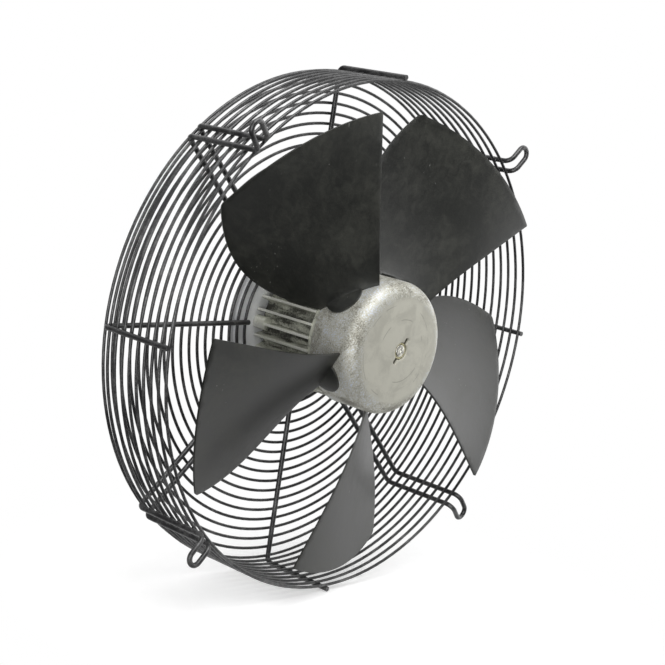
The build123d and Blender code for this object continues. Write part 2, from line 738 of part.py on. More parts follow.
with BuildPart() as blade_foot:
    a = radians(FOOT_ANGLE)
    tilt = radians(FOOT_TILT)
    outwards = (cos(a), 0, sin(a))
    along_root = (-sin(a) * cos(tilt), sin(tilt), cos(a) * cos(tilt))
    foot_origin = on_cylinder(ROTOR_R - 10, FOOT_ANGLE, FOOT_Y)
    with BuildSketch(Plane(origin=foot_origin, x_dir=along_root, z_dir=outwards)):
        Ellipse(FOOT_HALF_LENGTH, FOOT_HEIGHT)
        with Locations((0, -FOOT_HEIGHT / 2)):
            Rectangle(2 * FOOT_HALF_LENGTH, FOOT_HEIGHT, mode=Mode.SUBTRACT)
    extrude(amount=20)
    turn_ring(ROTOR_R, ROTOR_R + FOOT_T, -40, 40, mode=Mode.INTERSECT)

for i in range(BLADE_COUNT):
    blade_turn = (0, -360 * i / BLADE_COUNT, 0)
    with BuildPart() as blade:
        add(blade_sheet.part, rotation=blade_turn)
        add(blade_foot.part, rotation=blade_turn)
    save(blade, f"blade_{i + 1}")
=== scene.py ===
"""Looks of an axial fan in a wire guard basket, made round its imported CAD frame.

The fan axis is Y and the rotor face points to -Y; +X is to the right of someone who
looks at it, and +Z is up. Angles run from +X towards +Z. Lengths are in metres.
"""

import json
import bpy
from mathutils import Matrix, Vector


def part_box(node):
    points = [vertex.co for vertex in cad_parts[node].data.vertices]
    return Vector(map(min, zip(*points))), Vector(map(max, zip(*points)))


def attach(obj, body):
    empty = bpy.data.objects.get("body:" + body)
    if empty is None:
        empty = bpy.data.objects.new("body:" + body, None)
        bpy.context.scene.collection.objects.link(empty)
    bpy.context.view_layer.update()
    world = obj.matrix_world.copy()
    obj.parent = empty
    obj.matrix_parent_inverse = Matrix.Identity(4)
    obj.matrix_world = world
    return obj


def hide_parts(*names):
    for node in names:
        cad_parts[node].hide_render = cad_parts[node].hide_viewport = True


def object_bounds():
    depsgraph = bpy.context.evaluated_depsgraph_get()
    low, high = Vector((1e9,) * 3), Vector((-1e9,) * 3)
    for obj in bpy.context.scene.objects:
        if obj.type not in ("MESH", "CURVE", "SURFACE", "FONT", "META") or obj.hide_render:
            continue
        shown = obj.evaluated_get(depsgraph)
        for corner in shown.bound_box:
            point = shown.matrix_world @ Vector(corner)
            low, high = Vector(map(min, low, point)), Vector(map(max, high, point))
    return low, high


bl_info = {
    "name": "Axial Fan Looks",
    "version": (1, 0, 0),
    "blender": (4, 5, 0),
    "location": "3D View > Sidebar > Fan",
    "description": "Guard wires, blades, castings and finishes of an axial fan",
    "category": "Object",
}

from math import cos, pi, radians, sin, sqrt, tan

import bmesh
import bpy
from bpy.props import (
    FloatProperty,
    FloatVectorProperty,
    IntProperty,
    PointerProperty,
)
from mathutils import Matrix, Vector

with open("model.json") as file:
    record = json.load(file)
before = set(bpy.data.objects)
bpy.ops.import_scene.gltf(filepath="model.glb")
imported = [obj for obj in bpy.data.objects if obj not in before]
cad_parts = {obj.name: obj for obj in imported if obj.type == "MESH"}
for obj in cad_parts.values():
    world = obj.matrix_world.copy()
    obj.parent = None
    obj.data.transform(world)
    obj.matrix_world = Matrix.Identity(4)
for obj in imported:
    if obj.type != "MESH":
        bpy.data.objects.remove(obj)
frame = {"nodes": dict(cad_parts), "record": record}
CAD_BOX = [list(corner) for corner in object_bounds()]
BODY_OF = {
    node: body
    for body, nodes in frame["record"]["behaviour"]["bodies"].items()
    for node in nodes
}
SLOT_OF = {row["node"]: row["material_slot"] for row in frame["record"]["subparts"]}
MM = 0.001


# ---------------------------------------------------------------- sizes and colours


def length(name, default, description):
    return FloatProperty(
        name=name, description=description, default=default, min=0.0, unit="LENGTH", precision=5
    )


def angle(name, default, description):
    return FloatProperty(
        name=name, description=description, default=radians(default), subtype="ANGLE"
    )


def colour(name, default, description):
    return FloatVectorProperty(
        name=name, description=description, default=default, subtype="COLOR", size=3, min=0, max=1
    )


class FanSizes(bpy.types.PropertyGroup):
    wall_rings: IntProperty(name="Wall rings", description="Rings round the basket", default=9)
    disc_rings: IntProperty(name="Disc rings", description="Rings of the rear disc", default=18)
    ring_wobble: length("Ring wobble", 0.35 * MM, "How far a ring strays from its true line")
    bead: length("Weld bead", 1.5 * MM, "Radius of the bead where two wires are welded")
    wire_bend: length("Wire bend", 6 * MM, "Radius of the bends of the frame wires")
    eye_gap: length("Eyelet half gap", 7 * MM, "Half the distance between an arm's two legs")
    edge: length("Edge round", 0.35 * MM, "Round on the edges of turned and pressed parts")


class FanColours(bpy.types.PropertyGroup):
    guard_paint: colour("Guard paint", (0.018, 0.018, 0.019), "Paint on the wires")
    guard_worn: colour("Worn wire", (0.17, 0.17, 0.17), "Where the paint is rubbed thin")
    blade_paint: colour("Blade paint", (0.009, 0.010, 0.008), "Satin black of the blades")
    blade_dust: colour("Blade dust", (0.120, 0.122, 0.094), "Dust lying on the blades")
    cast: colour("Cast aluminium", (0.63, 0.62, 0.54), "Clean casting")
    cast_dirt: colour("Casting dirt", (0.20, 0.19, 0.16), "Grease and oxide in the corners")
    zinc: colour("Zinc plate", (0.92, 0.93, 0.93), "Galvanised sheet and bright screws")
    yellow_zinc: colour("Yellow zinc", (0.84, 0.80, 0.56), "Yellow passivated bush")
    steel: colour("Ground steel", (0.84, 0.83, 0.74), "Shaft and bearings")


class FanStudio(bpy.types.PropertyGroup):
    azimuth: angle("Azimuth", -49.287, "Camera's place round the fan, 0 in front of it")
    elevation: angle("Elevation", 9.804, "Camera's height above the fan's centre")
    roll: angle("Roll", 8.809, "Turn of the camera about its line of sight")
    aim_across: angle("Aim across", -1.228, "Line of sight, to the right of the centre")
    aim_up: angle("Aim up", 0.099, "Line of sight, above the centre")
    distance: length("Distance", 1.5224, "Camera to the guard's middle")
    lens: FloatProperty(name="Lens", description="Focal length, mm", default=86.5, min=1)
    paper: colour("Paper", (0.90, 0.90, 0.90), "Floor under the fan")


def sizes():
    return bpy.context.scene.fan_sizes


def colours():
    return bpy.context.scene.fan_colours


# ---------------------------------------------------------------- node graphs


class Link:
    """An output of a node graph. Its operators add Math nodes."""

    def __init__(self, graph, socket):
        self.graph = graph
        self.socket = socket

    def math(self, operation, a, b=0.0):
        return self.graph.node("ShaderNodeMath", {0: a, 1: b}, operation=operation)

    def __add__(self, other):
        return self.math("ADD", self, other)

    def __radd__(self, other):
        return self.math("ADD", other, self)

    def __sub__(self, other):
        return self.math("SUBTRACT", self, other)

    def __rsub__(self, other):
        return self.math("SUBTRACT", other, self)

    def __mul__(self, other):
        return self.math("MULTIPLY", self, other)

    def __rmul__(self, other):
        return self.math("MULTIPLY", other, self)

    def __truediv__(self, other):
        return self.math("DIVIDE", self, other)

    def __rtruediv__(self, other):
        return self.math("DIVIDE", other, self)

    def __pow__(self, other):
        return self.math("POWER", self, other)

    def __mod__(self, other):
        return self.math("FLOORED_MODULO", self, other)

    def __abs__(self):
        return self.math("ABSOLUTE", self)

    def __lt__(self, other):
        return self.math("LESS_THAN", self, other)

    def __gt__(self, other):
        return self.math("GREATER_THAN", self, other)


class Graph:
    """A node tree that is filled one node at a time."""

    def __init__(self, tree):
        self.tree = tree

    def node(self, kind, inputs=None, out=0, **settings):
        """Add a node: its settings first, then its sockets by name or number."""
        made = self.tree.nodes.new(kind)
        stops = settings.pop("stops", None)
        for key, value in settings.items():
            setattr(made, key, value)
        if stops:
            ramp = made.color_ramp.elements
            while len(ramp) < len(stops):
                ramp.new(1.0)
            for element, (position, shade) in zip(ramp, stops):
                element.position = position
                grey = not hasattr(shade, "__len__")
                element.color = (*((shade,) * 3 if grey else shade), 1.0)
        for key, value in (inputs or {}).items():
            socket = made.inputs[key]
            if isinstance(value, Link):
                self.tree.links.new(value.socket, socket)
            elif value is not None:
                socket.default_value = value
        return Link(self, made.outputs[out]) if len(made.outputs) else made

    def xyz(self, vector):
        parts = self.node("ShaderNodeSeparateXYZ", {0: vector}).socket.node
        return [Link(self, output) for output in parts.outputs]

    def vector(self, x, y, z):
        return self.node("ShaderNodeCombineXYZ", {0: x, 1: y, 2: z})

    def smooth(self, value, low, high, to_low=0.0, to_high=1.0):
        """Ease from to_low to to_high while value goes from low to high."""
        return self.node(
            "ShaderNodeMapRange",
            {"Value": value, 1: low, 2: high, 3: to_low, 4: to_high},
            interpolation_type="SMOOTHSTEP",
        )


class Shader(Graph):
    """The graph of one material, on Object coordinates."""

    def __init__(self, name):
        self.material = bpy.data.materials.new(name)
        self.material.use_nodes = True
        super().__init__(self.material.node_tree)
        self.tree.nodes.clear()
        self.place = self.node("ShaderNodeTexCoord", out="Object")
        x, self.y, z = self.xyz(self.place)
        self.radius = (x * x + z * z) ** 0.5
        self.x, self.z = x, z

    def stretched(self, x=1.0, y=1.0, z=1.0, shift=(0, 0, 0)):
        return self.node(
            "ShaderNodeMapping", {"Vector": self.place, "Scale": (x, y, z), "Location": shift}
        )

    def noise(self, size, detail=3.0, rough=0.55, where=None, bend=0.0):
        """Noise from 0 to 1 whose blotches are about size metres across."""
        inputs = {
            "Vector": where or self.place,
            "Scale": 1.0 / size,
            "Detail": detail,
            "Roughness": rough,
            "Distortion": bend,
        }
        return self.node("ShaderNodeTexNoise", inputs)

    def cells(self, size, where=None, out="Distance", feature="F1"):
        inputs = {"Vector": where or self.place, "Scale": 1.0 / size}
        return self.node("ShaderNodeTexVoronoi", inputs, out=out, feature=feature)

    def blend(self, factor, a, b):
        a = (*a, 1.0) if isinstance(a, (tuple, list)) else a
        b = (*b, 1.0) if isinstance(b, (tuple, list)) else b
        return self.node("ShaderNodeMix", {0: factor, 6: a, 7: b}, out=2, data_type="RGBA")

    def bump(self, height, depth, strength=1.0, after=None):
        inputs = {"Strength": strength, "Distance": depth, "Height": height}
        if after is not None:
            inputs["Normal"] = after
        return self.node("ShaderNodeBump", inputs)

    def finish(self, **sockets):
        """End in one Principled shader, whose sockets are named with underscores."""
        inputs = {key.replace("_", " "): value for key, value in sockets.items()}
        for key, value in inputs.items():
            if isinstance(value, (tuple, list)):
                inputs[key] = (*value, 1.0)
        surface = self.node("ShaderNodeBsdfPrincipled", inputs)
        self.node("ShaderNodeOutputMaterial", {"Surface": surface})
        return self.material


# ---------------------------------------------------------------- finishes


def guard_paint():
    """Grey-black dipped wire, rubbed thin in places, with a fine orange peel."""
    g = Shader("guard_paint")
    c = colours()
    speckle = g.noise(1.1 * MM, 4, 0.6)
    mottle = g.noise(4 * MM, 4, 0.7)
    rubbed = g.smooth(g.noise(22 * MM, 3, 0.6) * 0.4 + mottle * 0.3 + speckle * 0.3, 0.46, 0.62)
    shade = g.blend(rubbed, tuple(c.guard_paint), tuple(c.guard_worn))
    peel = g.bump(speckle, 0.10 * MM, 0.5)
    return g.finish(
        Base_Color=shade,
        Metallic=rubbed * 0.55,
        Roughness=0.26 + speckle * 0.14,
        Specular_IOR_Level=0.9,
        Normal=peel,
    )


def blade_paint():
    """Satin black paint with dust, handling marks and a few fine scratches."""
    g = Shader("blade_paint")
    c = colours()
    cloud = g.noise(70 * MM, 4, 0.6, bend=0.4)
    grit = g.noise(0.7 * MM, 2, 0.6)
    smear = g.noise(14 * MM, 4, 0.65, where=g.stretched(1.0, 3.0, 1.0), bend=1.2)
    dust = g.smooth(cloud * 0.5 + smear * 0.3 + grit * 0.2, 0.42, 0.70)
    streak = g.noise(1.1 * MM, 1, 0.5, where=g.stretched(0.9, 0.9, 0.07, (0.013, 0.0, 0.004)))
    patch = g.smooth(g.noise(38 * MM, 2, 0.5, where=g.stretched(shift=(0.4, 0.1, 0.2))), 0.62, 0.68)
    scratch = g.smooth(streak, 0.73, 0.78) * patch
    speck = g.smooth(g.noise(2.6 * MM, 1, 0.5), 0.82, 0.86)
    shade = g.blend(dust * 0.26, tuple(c.blade_paint), tuple(c.blade_dust))
    shade = g.blend(speck * 0.5, shade, (0.24, 0.24, 0.22))
    shade = g.blend(scratch * 0.7, shade, (0.36, 0.36, 0.34))
    normal = g.bump(grit, 0.05 * MM, 0.5)
    normal = g.bump(cloud, 1.2 * MM, 0.25, after=normal)
    return g.finish(
        Base_Color=shade,
        Roughness=0.36 + dust * 0.12 + grit * 0.06,
        Specular_IOR_Level=0.95,
        Normal=normal,
    )


def worn_edge():
    """The cut edge of a blade, where the paint is thin and the metal shows in places."""
    g = Shader("worn_edge")
    bare = g.smooth(g.noise(7 * MM, 4, 0.7), 0.44, 0.60)
    shade = g.blend(bare * 0.8, tuple(colours().blade_paint), (0.34, 0.33, 0.29))
    return g.finish(
        Base_Color=shade,
        Metallic=bare * 0.5,
        Roughness=0.42,
        Normal=g.bump(g.noise(0.8 * MM), 0.05 * MM, 0.5),
    )


# Radii of the marks on the rotor's face: the ejector pins' ring and a handling scratch
PIN_RING = 30 * MM
RUB_RING = 44 * MM


def cast_aluminium():
    """Pressure casting: a smooth dull face, grainy and sparkling where it turns away, the sparkle
    partly from rough flakes and partly painted as bluish glints.
    """
    g = Shader("cast_aluminium")
    c = colours()
    grain = g.noise(1.3 * MM, 5, 0.7)
    patch = g.noise(22 * MM, 5, 0.65, bend=0.8)
    flake = g.xyz(g.cells(0.8 * MM, out="Color"))[0]
    front = frame_low("rotor_cup", 1)
    face = g.smooth(g.radius, 58 * MM, 46 * MM) * g.smooth(g.y, front + 6 * MM, front + 3 * MM)
    side = 1.0 - face
    dirt = g.smooth(patch * 0.5 + grain * 0.5, 0.52, 0.40) * side * 0.8
    film = g.smooth(patch * 0.8 + grain * 0.2, 0.42, 0.62) * face * 0.22
    pin = g.smooth(abs(g.radius - PIN_RING), 0.5 * MM, 0.2 * MM)
    swirl = g.smooth(abs(g.radius - RUB_RING + g.x * 0.12), 0.45 * MM, 0.15 * MM)
    mark = g.node("ShaderNodeMath", {0: pin, 1: swirl}, operation="MAXIMUM")
    mark = mark * face * g.smooth(g.noise(18 * MM, 1, 0.5), 0.50, 0.58)
    # Painted glints: pale bluish flecks on the side only, standing in for the casting's sparkle
    painted_glints = g.smooth(patch * 0.3 + grain * 0.7, 0.52, 0.60) * side
    shade = g.blend(dirt + film, tuple(c.cast), tuple(c.cast_dirt))
    shade = g.blend(painted_glints * 0.8, shade, (0.78, 0.84, 0.95))
    shade = g.blend(mark * 0.50, shade, tuple(c.cast_dirt))
    height = grain * (0.05 + side * 0.95)
    return g.finish(
        Base_Color=shade,
        Metallic=0.45 + side * 0.15,
        Roughness=0.58 + side * (0.14 - flake * 0.30) + dirt * 0.1,
        Normal=g.bump(height, 0.40 * MM, 0.7),
    )


def fin_casting():
    """The housing's casting: olive-grey oxide stains, painted shade towards the fins' roots and a
    painted highlight along the fins' edges, where the metal is also made more metallic and less
    rough.
    """
    g = Shader("fin_casting")
    grain = g.noise(1.6 * MM, 5, 0.7)
    patch = g.noise(9 * MM, 4, 0.6, where=g.stretched(1.0, 0.35, 1.0))
    # Painted shade: the colour darkens towards the fins' roots, down between the fins
    painted_root_shade = g.smooth(g.radius, 60 * MM, 52.5 * MM)
    # The dark blend mixes random oxide stains with the painted shade at the fins' roots
    dirt = g.smooth(patch * 0.6 + grain * 0.3 + painted_root_shade * 0.10, 0.42, 0.62)
    tip = g.smooth(g.radius, 60.8 * MM, 61.6 * MM)
    # Painted highlight: a pale streak along the fins' outer edges, also more metallic and less
    # rough there
    bright = tip * g.smooth(grain * 0.5 + patch * 0.5, 0.38, 0.55)
    shade = g.blend(dirt, (0.58, 0.59, 0.50), (0.055, 0.055, 0.045))
    shade = g.blend(bright * 0.8, shade, (0.82, 0.82, 0.76))
    return g.finish(
        Base_Color=shade,
        Metallic=0.15 + bright * 0.25,
        Roughness=0.46 + dirt * 0.25 - bright * 0.12,
        Normal=g.bump(grain, 0.5 * MM, 0.6),
    )


def galvanised():
    """Galvanised sheet with zinc crystals and a light film."""
    g = Shader("galvanised")
    c = colours()
    crystal = g.xyz(g.cells(7 * MM, out="Color"))[0]
    film = g.noise(25 * MM, 4, 0.6)
    shade = g.blend(crystal * 0.18 + film * 0.12, tuple(c.zinc), (0.60, 0.62, 0.65))
    fine = g.noise(0.8 * MM, 2, 0.5)
    return g.finish(
        Base_Color=shade,
        Metallic=0.15,
        Roughness=0.36 + crystal * 0.14 + film * 0.10,
        Normal=g.bump(fine, 0.05 * MM, 0.4),
    )


def bush_finish():
    """Yellow passivated bush: pale round its bore, with painted shade in the recess of its wings
    and a painted dark ring in the gap round the shaft.
    """
    g = Shader("yellow_zinc")
    stain = g.noise(2.2 * MM, 4, 0.7)
    # Painted shade: the recess of the wings is painted near black, its edge wandering with the
    # stain
    painted_wing_shade = g.smooth(g.radius + stain * 1.0 * MM, 8.4 * MM, 9.2 * MM)
    # Painted shade: a dark ring in the gap round the shaft
    gap = g.smooth(g.radius, 7.3 * MM, 8.0 * MM)
    shade = g.blend(g.smooth(stain, 0.40, 0.62), tuple(colours().yellow_zinc), (0.40, 0.36, 0.18))
    shade = g.blend(painted_wing_shade * 0.9, shade, (0.030, 0.028, 0.022))
    shade = g.blend(gap * 0.85, shade, (0.06, 0.055, 0.035))
    return g.finish(
        Base_Color=shade,
        Metallic=0.55 - painted_wing_shade * 0.5,
        Roughness=0.38 + stain * 0.2,
        Normal=g.bump(stain, 0.15 * MM, 0.6),
    )


def plated(name, tint, stain, roughness=0.3, size=3 * MM):
    """Plated or ground metal with soft stains and fine turning marks."""
    g = Shader(name)
    blotch = g.noise(size, 4, 0.6)
    lines = g.noise(0.5 * MM, 2, 0.5, where=g.stretched(1.0, 6.0, 1.0))
    shade = g.blend(g.smooth(blotch, 0.42, 0.62), tint, stain)
    return g.finish(
        Base_Color=shade,
        Metallic=1.0,
        Roughness=roughness + blotch * 0.16,
        Normal=g.bump(lines, 0.03 * MM, 0.5),
    )


def moulded(name, tint, roughness=0.5, grain_size=0.6 * MM):
    """Moulded plastic or rubber: fine grain, faint flow clouds and a little dust."""
    g = Shader(name)
    cloud = g.noise(15 * MM, 3, 0.6)
    grain = g.noise(grain_size, 2, 0.5)
    dusty = tuple(min(1.0, value * 1.25 + 0.02) for value in tint)
    shade = g.blend(g.smooth(cloud, 0.35, 0.70), tint, dusty)
    return g.finish(
        Base_Color=shade,
        Roughness=roughness + cloud * 0.15,
        Normal=g.bump(grain, 0.06 * MM, 0.5),
    )


def stacked_sheet():
    """Stator laminations: dark blued edges, one line for each half-millimetre sheet."""
    g = Shader("stacked_sheet")
    sheet = (g.y / (0.5 * MM)) % 1.0
    rust = g.noise(5 * MM, 4, 0.6)
    shade = g.blend(g.smooth(rust, 0.5, 0.7), (0.16, 0.165, 0.18), (0.24, 0.16, 0.10))
    groove = g.smooth(abs(sheet - 0.5), 0.40, 0.48)
    return g.finish(
        Base_Color=shade,
        Metallic=0.8,
        Roughness=0.42 + rust * 0.2,
        Normal=g.bump(1.0 - groove, 0.08 * MM, 0.7),
    )


def wound_copper():
    """Enamelled copper turns lying side by side."""
    g = Shader("wound_copper")
    turn = (g.y / (0.8 * MM)) % 1.0
    crown = 1.0 - abs(turn - 0.5) * 2.0
    tone = g.noise(4 * MM, 3, 0.6)
    shade = g.blend(tone, (0.55, 0.20, 0.08), (0.78, 0.36, 0.14))
    return g.finish(
        Base_Color=shade,
        Metallic=0.85,
        Roughness=0.28 + tone * 0.12,
        Normal=g.bump(crown, 0.25 * MM, 0.8),
    )


def board():
    """Circuit board: green solder resist over copper tracks."""
    g = Shader("board")
    track = g.cells(6 * MM, feature="DISTANCE_TO_EDGE")
    copper = g.smooth(track, 0.09, 0.06)
    shade = g.blend(copper, (0.015, 0.13, 0.05), (0.05, 0.24, 0.09))
    return g.finish(
        Base_Color=shade,
        Roughness=0.30 + g.noise(3 * MM) * 0.15,
        Normal=g.bump(copper, 0.05 * MM, 0.6),
    )


# One maker for each finish that the record's slots name
FINISHES = {
    "guard_wire": guard_paint,
    "blade_paint": blade_paint,
    "cast_aluminium": cast_aluminium,
    "zinc_plate": galvanised,
    "machined_aluminium": lambda: plated(
        "turned_aluminium", (0.70, 0.71, 0.72), (0.52, 0.53, 0.55)
    ),
    "zinc_screw": lambda: plated("bright_zinc", tuple(colours().zinc), (0.45, 0.45, 0.42), 0.25),
    "yellow_zinc": bush_finish,
    "bearing_steel": lambda: plated(
        "ground_steel", tuple(colours().steel), (0.42, 0.41, 0.38), 0.18
    ),
    "brass_cage": lambda: plated("pressed_brass", (0.70, 0.50, 0.22), (0.45, 0.30, 0.12), 0.3),
    "lamination_steel": stacked_sheet,
    "magnet": lambda: plated("ferrite", (0.10, 0.10, 0.11), (0.06, 0.06, 0.07), 0.5),
    "copper": wound_copper,
    "insulator_plastic": lambda: moulded("insulator", (0.72, 0.68, 0.55), 0.45),
    "component_plastic": lambda: moulded("component", (0.030, 0.030, 0.034), 0.42),
    "board_laminate": board,
    "cover_plastic": lambda: moulded("cover", (0.035, 0.035, 0.038), 0.50, 0.9 * MM),
    "gland_plastic": lambda: moulded("gland", (0.025, 0.025, 0.027), 0.48),
    "seal_rubber": lambda: moulded("rubber", (0.018, 0.018, 0.018), 0.72, 0.4 * MM),
}


def finish_of(slot):
    """The material of a record slot, made the first time it is asked for."""
    if slot not in FINISHED:
        FINISHED[slot] = FINISHES[slot]()
    return FINISHED[slot]


FINISHED = {}


# ---------------------------------------------------------------- pieces


def frame_low(node, axis):
    """Lowest coordinate of a CAD node along an axis, 0 for x, 1 for y and 2 for z."""
    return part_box(node)[0][axis]


def frame_high(node, axis):
    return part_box(node)[1][axis]


def place(radius, turn, y):
    """The point at a radius and an angle, in radians, about the fan axis."""
    return Vector((radius * cos(turn), y, radius * sin(turn)))


def add_piece(name, mesh, body, slot, replaces=()):
    """Link a finished mesh, and say what it rides on, is finished as and stands for."""
    piece = bpy.data.objects.new(name, mesh)
    bpy.context.scene.collection.objects.link(piece)
    if not mesh.materials:
        mesh.materials.append(finish_of(slot))
    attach(piece, body)
    if replaces:
        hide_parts(*replaces)
    return piece


def stand_in(name, mesh, node):
    """A piece that takes the place, body and finish of one CAD node."""
    return add_piece(name, mesh, BODY_OF[node], SLOT_OF[node], [node])


def evaluated_mesh(piece):
    """The plain mesh of a piece with its modifiers applied."""
    graph = bpy.context.evaluated_depsgraph_get()
    return bpy.data.meshes.new_from_object(piece.evaluated_get(graph), depsgraph=graph)


def grown(tree, seed, inputs):
    """The plain mesh that a node tree makes from a seed mesh or curve."""
    holder = bpy.data.objects.new("seed", seed)
    bpy.context.scene.collection.objects.link(holder)
    modifier = holder.modifiers.new("Grow", "NODES")
    modifier.node_group = tree
    items = tree.interface.items_tree
    sockets = {item.name: item.identifier for item in items if item.in_out == "INPUT"}
    for name, value in inputs.items():
        modifier[sockets[name]] = value
    mesh = evaluated_mesh(holder)
    holder.modifiers.remove(modifier)
    bpy.data.objects.remove(holder)
    return mesh


# Edges sharper than this are rounded
ROUND_ABOVE = radians(32)


def rounded_copy(node, finishes=()):
    """A CAD node's shape with its sharp edges rounded, as a new mesh.

    With two finishes, the second one lies on the rounds only.
    """
    mesh = frame["nodes"][node].data.copy()
    mesh.materials.clear()
    for finish in finishes:
        mesh.materials.append(finish)
    shape = bmesh.new()
    shape.from_mesh(mesh)
    bmesh.ops.remove_doubles(shape, verts=shape.verts, dist=0.002 * MM)
    bmesh.ops.dissolve_limit(shape, angle_limit=radians(0.05), verts=shape.verts, edges=shape.edges)
    shape.to_mesh(mesh)
    shape.free()
    holder = bpy.data.objects.new("rounding", mesh)
    bpy.context.scene.collection.objects.link(holder)
    bevel = holder.modifiers.new("Round", "BEVEL")
    bevel.width = sizes().edge
    bevel.segments = 2
    bevel.limit_method = "ANGLE"
    bevel.angle_limit = ROUND_ABOVE
    bevel.use_clamp_overlap = True
    bevel.harden_normals = False
    bevel.material = len(finishes) - 1
    result = evaluated_mesh(holder)
    bpy.data.objects.remove(holder)
    result.shade_smooth()
    result.set_sharp_from_angle(angle=radians(40))
    return result


class Grower(Graph):
    """A geometry tree with named inputs. It ends in Realize Instances and Set Material."""

    KINDS = {float: "NodeSocketFloat", int: "NodeSocketInt", "material": "NodeSocketMaterial"}

    def __init__(self, name, inputs):
        super().__init__(bpy.data.node_groups.new(name, "GeometryNodeTree"))
        face = self.tree.interface
        face.new_socket("Geometry", in_out="INPUT", socket_type="NodeSocketGeometry")
        for label, kind in {**inputs, "Material": "material"}.items():
            face.new_socket(label, in_out="INPUT", socket_type=self.KINDS[kind])
        face.new_socket("Geometry", in_out="OUTPUT", socket_type="NodeSocketGeometry")
        entry = self.tree.nodes.new("NodeGroupInput")
        self.seed = Link(self, entry.outputs["Geometry"])
        self.given = {label: Link(self, entry.outputs[label]) for label in [*inputs, "Material"]}

    def end(self, geometry, smooth=True):
        solid = self.node("GeometryNodeRealizeInstances", {"Geometry": geometry})
        if smooth:
            solid = self.node("GeometryNodeSetShadeSmooth", {"Geometry": solid})
        solid = self.node(
            "GeometryNodeSetMaterial", {"Geometry": solid, "Material": self.given["Material"]}
        )
        self.node("NodeGroupOutput", {"Geometry": solid})
        return self.tree


def ring_tree():
    """Rings about the fan axis, each swept from a circle whose line wanders a little."""
    g = Grower(
        "fan rings",
        {
            "Count": int,
            "First radius": float,
            "Radius step": float,
            "First place": float,
            "Place step": float,
            "Wire radius": float,
            "Wobble": float,
        },
    )
    given = g.given
    index = g.node("GeometryNodeInputIndex")
    radius = given["First radius"] + index * given["Radius step"]
    spot = g.vector(0.0, given["First place"] + index * given["Place step"], 0.0)
    points = g.node("GeometryNodePoints", {"Count": given["Count"], "Position": spot})
    circle = g.node("GeometryNodeCurvePrimitiveCircle", {"Resolution": 128, "Radius": 1.0})
    rings = g.node(
        "GeometryNodeInstanceOnPoints",
        {
            "Points": points,
            "Instance": circle,
            "Rotation": g.node("FunctionNodeInputVector", vector=(pi / 2, 0, 0)),
            "Scale": g.vector(radius, radius, radius),
        },
    )
    lines = g.node("GeometryNodeRealizeInstances", {"Geometry": rings})
    stray = g.node(
        "ShaderNodeTexNoise",
        {"Scale": 9.0, "Detail": 1.0, "W": 7.0},
        out="Color",
        noise_dimensions="4D",
    )
    stray = g.node("ShaderNodeVectorMath", {0: stray, 1: (0.5, 0.5, 0.5)}, operation="SUBTRACT")
    stray = g.node(
        "ShaderNodeVectorMath",
        {0: stray, "Scale": given["Wobble"] * 2.0},
        operation="SCALE",
    )
    lines = g.node("GeometryNodeSetPosition", {"Geometry": lines, "Offset": stray})
    section = g.node(
        "GeometryNodeCurvePrimitiveCircle", {"Resolution": 10, "Radius": given["Wire radius"]}
    )
    return g.end(g.node("GeometryNodeCurveToMesh", {"Curve": lines, "Profile Curve": section}))


def wire_tree():
    """Round wire along a line of corners; a corner's radius attribute is its bend."""
    g = Grower("fan frame wire", {"Wire radius": float})
    bent = g.node(
        "GeometryNodeFilletCurve",
        {"Curve": g.seed, "Count": 7, "Radius": g.node("GeometryNodeInputRadius")},
        mode="POLY",
    )
    even = g.node("GeometryNodeSetCurveRadius", {"Curve": bent, "Radius": 1.0})
    section = g.node(
        "GeometryNodeCurvePrimitiveCircle", {"Resolution": 16, "Radius": g.given["Wire radius"]}
    )
    return g.end(
        g.node(
            "GeometryNodeCurveToMesh",
            {"Curve": even, "Profile Curve": section, "Fill Caps": True},
        )
    )


def bead_tree():
    """A squashed weld bead of its own size and turn on every point of the seed."""
    g = Grower("fan weld beads", {"Bead": float})
    bead = g.node("GeometryNodeMeshIcoSphere", {"Radius": g.given["Bead"], "Subdivisions": 2})
    turn = g.node(
        "FunctionNodeRandomValue",
        {0: (0, 0, 0), 1: (6.28, 6.28, 6.28), "Seed": 3},
        data_type="FLOAT_VECTOR",
    )
    scale = g.node(
        "FunctionNodeRandomValue",
        {0: (0.85, 0.85, 0.85), 1: (1.25, 1.25, 1.25), "Seed": 8},
        data_type="FLOAT_VECTOR",
    )
    beads = g.node(
        "GeometryNodeInstanceOnPoints",
        {"Points": g.seed, "Instance": bead, "Rotation": turn, "Scale": scale},
    )
    return g.end(beads)


def point_cloud(places):
    mesh = bpy.data.meshes.new("places")
    mesh.from_pydata(places, [], [])
    return mesh


# ---------------------------------------------------------------- operators


SPOKES = {"spoke_right": 0, "spoke_top": 90, "spoke_left": 180, "spoke_bottom": 270}
ARMS = {
    "arm_upper_right": 45,
    "arm_upper_left": 135,
    "arm_lower_left": 225,
    "arm_lower_right": 315,
}
# How far each hand-bent eyelet leans out of its plane, positive towards the rear
EYE_LEAN = {
    "arm_upper_right": 0.0,
    "arm_upper_left": -4 * MM,
    "arm_lower_left": -1 * MM,
    "arm_lower_right": 3 * MM,
}
WELD_SINK = 0.3 * MM
EYE_BEND = 8 * MM
FIRST_DISC_RING = 75 * MM


